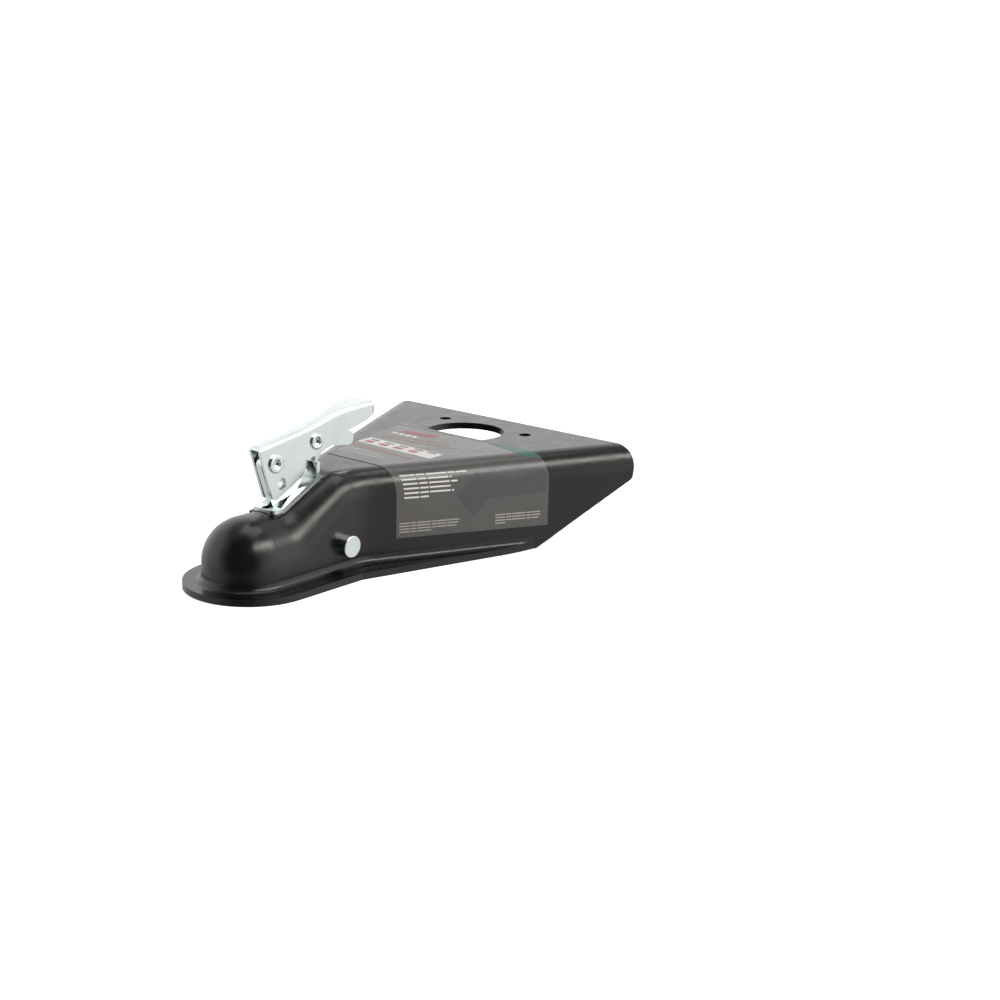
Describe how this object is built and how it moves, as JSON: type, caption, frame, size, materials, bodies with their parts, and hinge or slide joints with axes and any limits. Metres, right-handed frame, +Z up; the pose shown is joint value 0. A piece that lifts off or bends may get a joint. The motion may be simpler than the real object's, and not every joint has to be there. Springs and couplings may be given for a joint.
{
  "type": "trailer coupler",
  "caption": "Black stamped A-frame trailer coupling head with a zinc-plated lever latch on its neck and a round jack hole in the deck.",
  "frame": {"origin": "centre of the coupling ball the head closes on", "axes": "+X to the rear along the drawbar, +Z up out of the deck, -Y the near side of the picture"},
  "size_m": [0.305, 0.234, 0.1092],
  "materials": {
    "body": "glossy black coat on stamped steel",
    "zinc": "bright blue-white zinc plate",
    "spring": "oiled spring wire",
    "cast": "black phosphate on cast steel"
  },
  "bodies": {
    "head": {"coupler_body": "body", "latch_base_plate": "zinc", "clamp_pivot_pin": "zinc", "thrust_washer_near": "zinc", "thrust_washer_far": "zinc", "clamp_torsion_spring": "spring"},
    "draw_bar": {"latch_stem": "zinc", "stem_pin": "zinc", "stem_pin_clip": "spring", "handle_pivot_rivet": "zinc"},
    "lever": {"handle": "zinc", "trigger_pivot_rivet": "zinc", "trigger_torsion_spring": "spring"},
    "finger": {"trigger": "zinc"},
    "jaw": {"ball_clamp": "cast"}
  },
  "joints": [
    {"name": "draw_bar_slide", "type": "slide", "parent": "head", "child": "draw_bar", "axis": [0.297, 0, -0.9549], "range_m": [0, 0.005]},
    {"name": "lever_hinge", "type": "hinge", "parent": "draw_bar", "child": "lever", "pos_m": [0.0208, 0, 0.0627], "axis": [0, -1, 0], "range_deg": [0, 95]},
    {"name": "trigger_hinge", "type": "hinge", "parent": "lever", "child": "finger", "pos_m": [0.0575, 0, 0.0713], "axis": [0, -1, 0], "range_deg": [-8, 12], "stiffness_Nm_per_rad": 0.5},
    {"name": "jaw_hinge", "type": "hinge", "parent": "head", "child": "jaw", "pos_m": [0.0595, 0, 0.0046], "axis": [0, -1, 0], "range_deg": [0, 14.59]}
  ],
  "couplings": [
    {"joint": "draw_bar_slide", "follows": "lever_hinge", "m_per_rad": 0.0030156},
    {"joint": "jaw_hinge", "follows": "lever_hinge", "ratio": 0.15349}
  ]
}
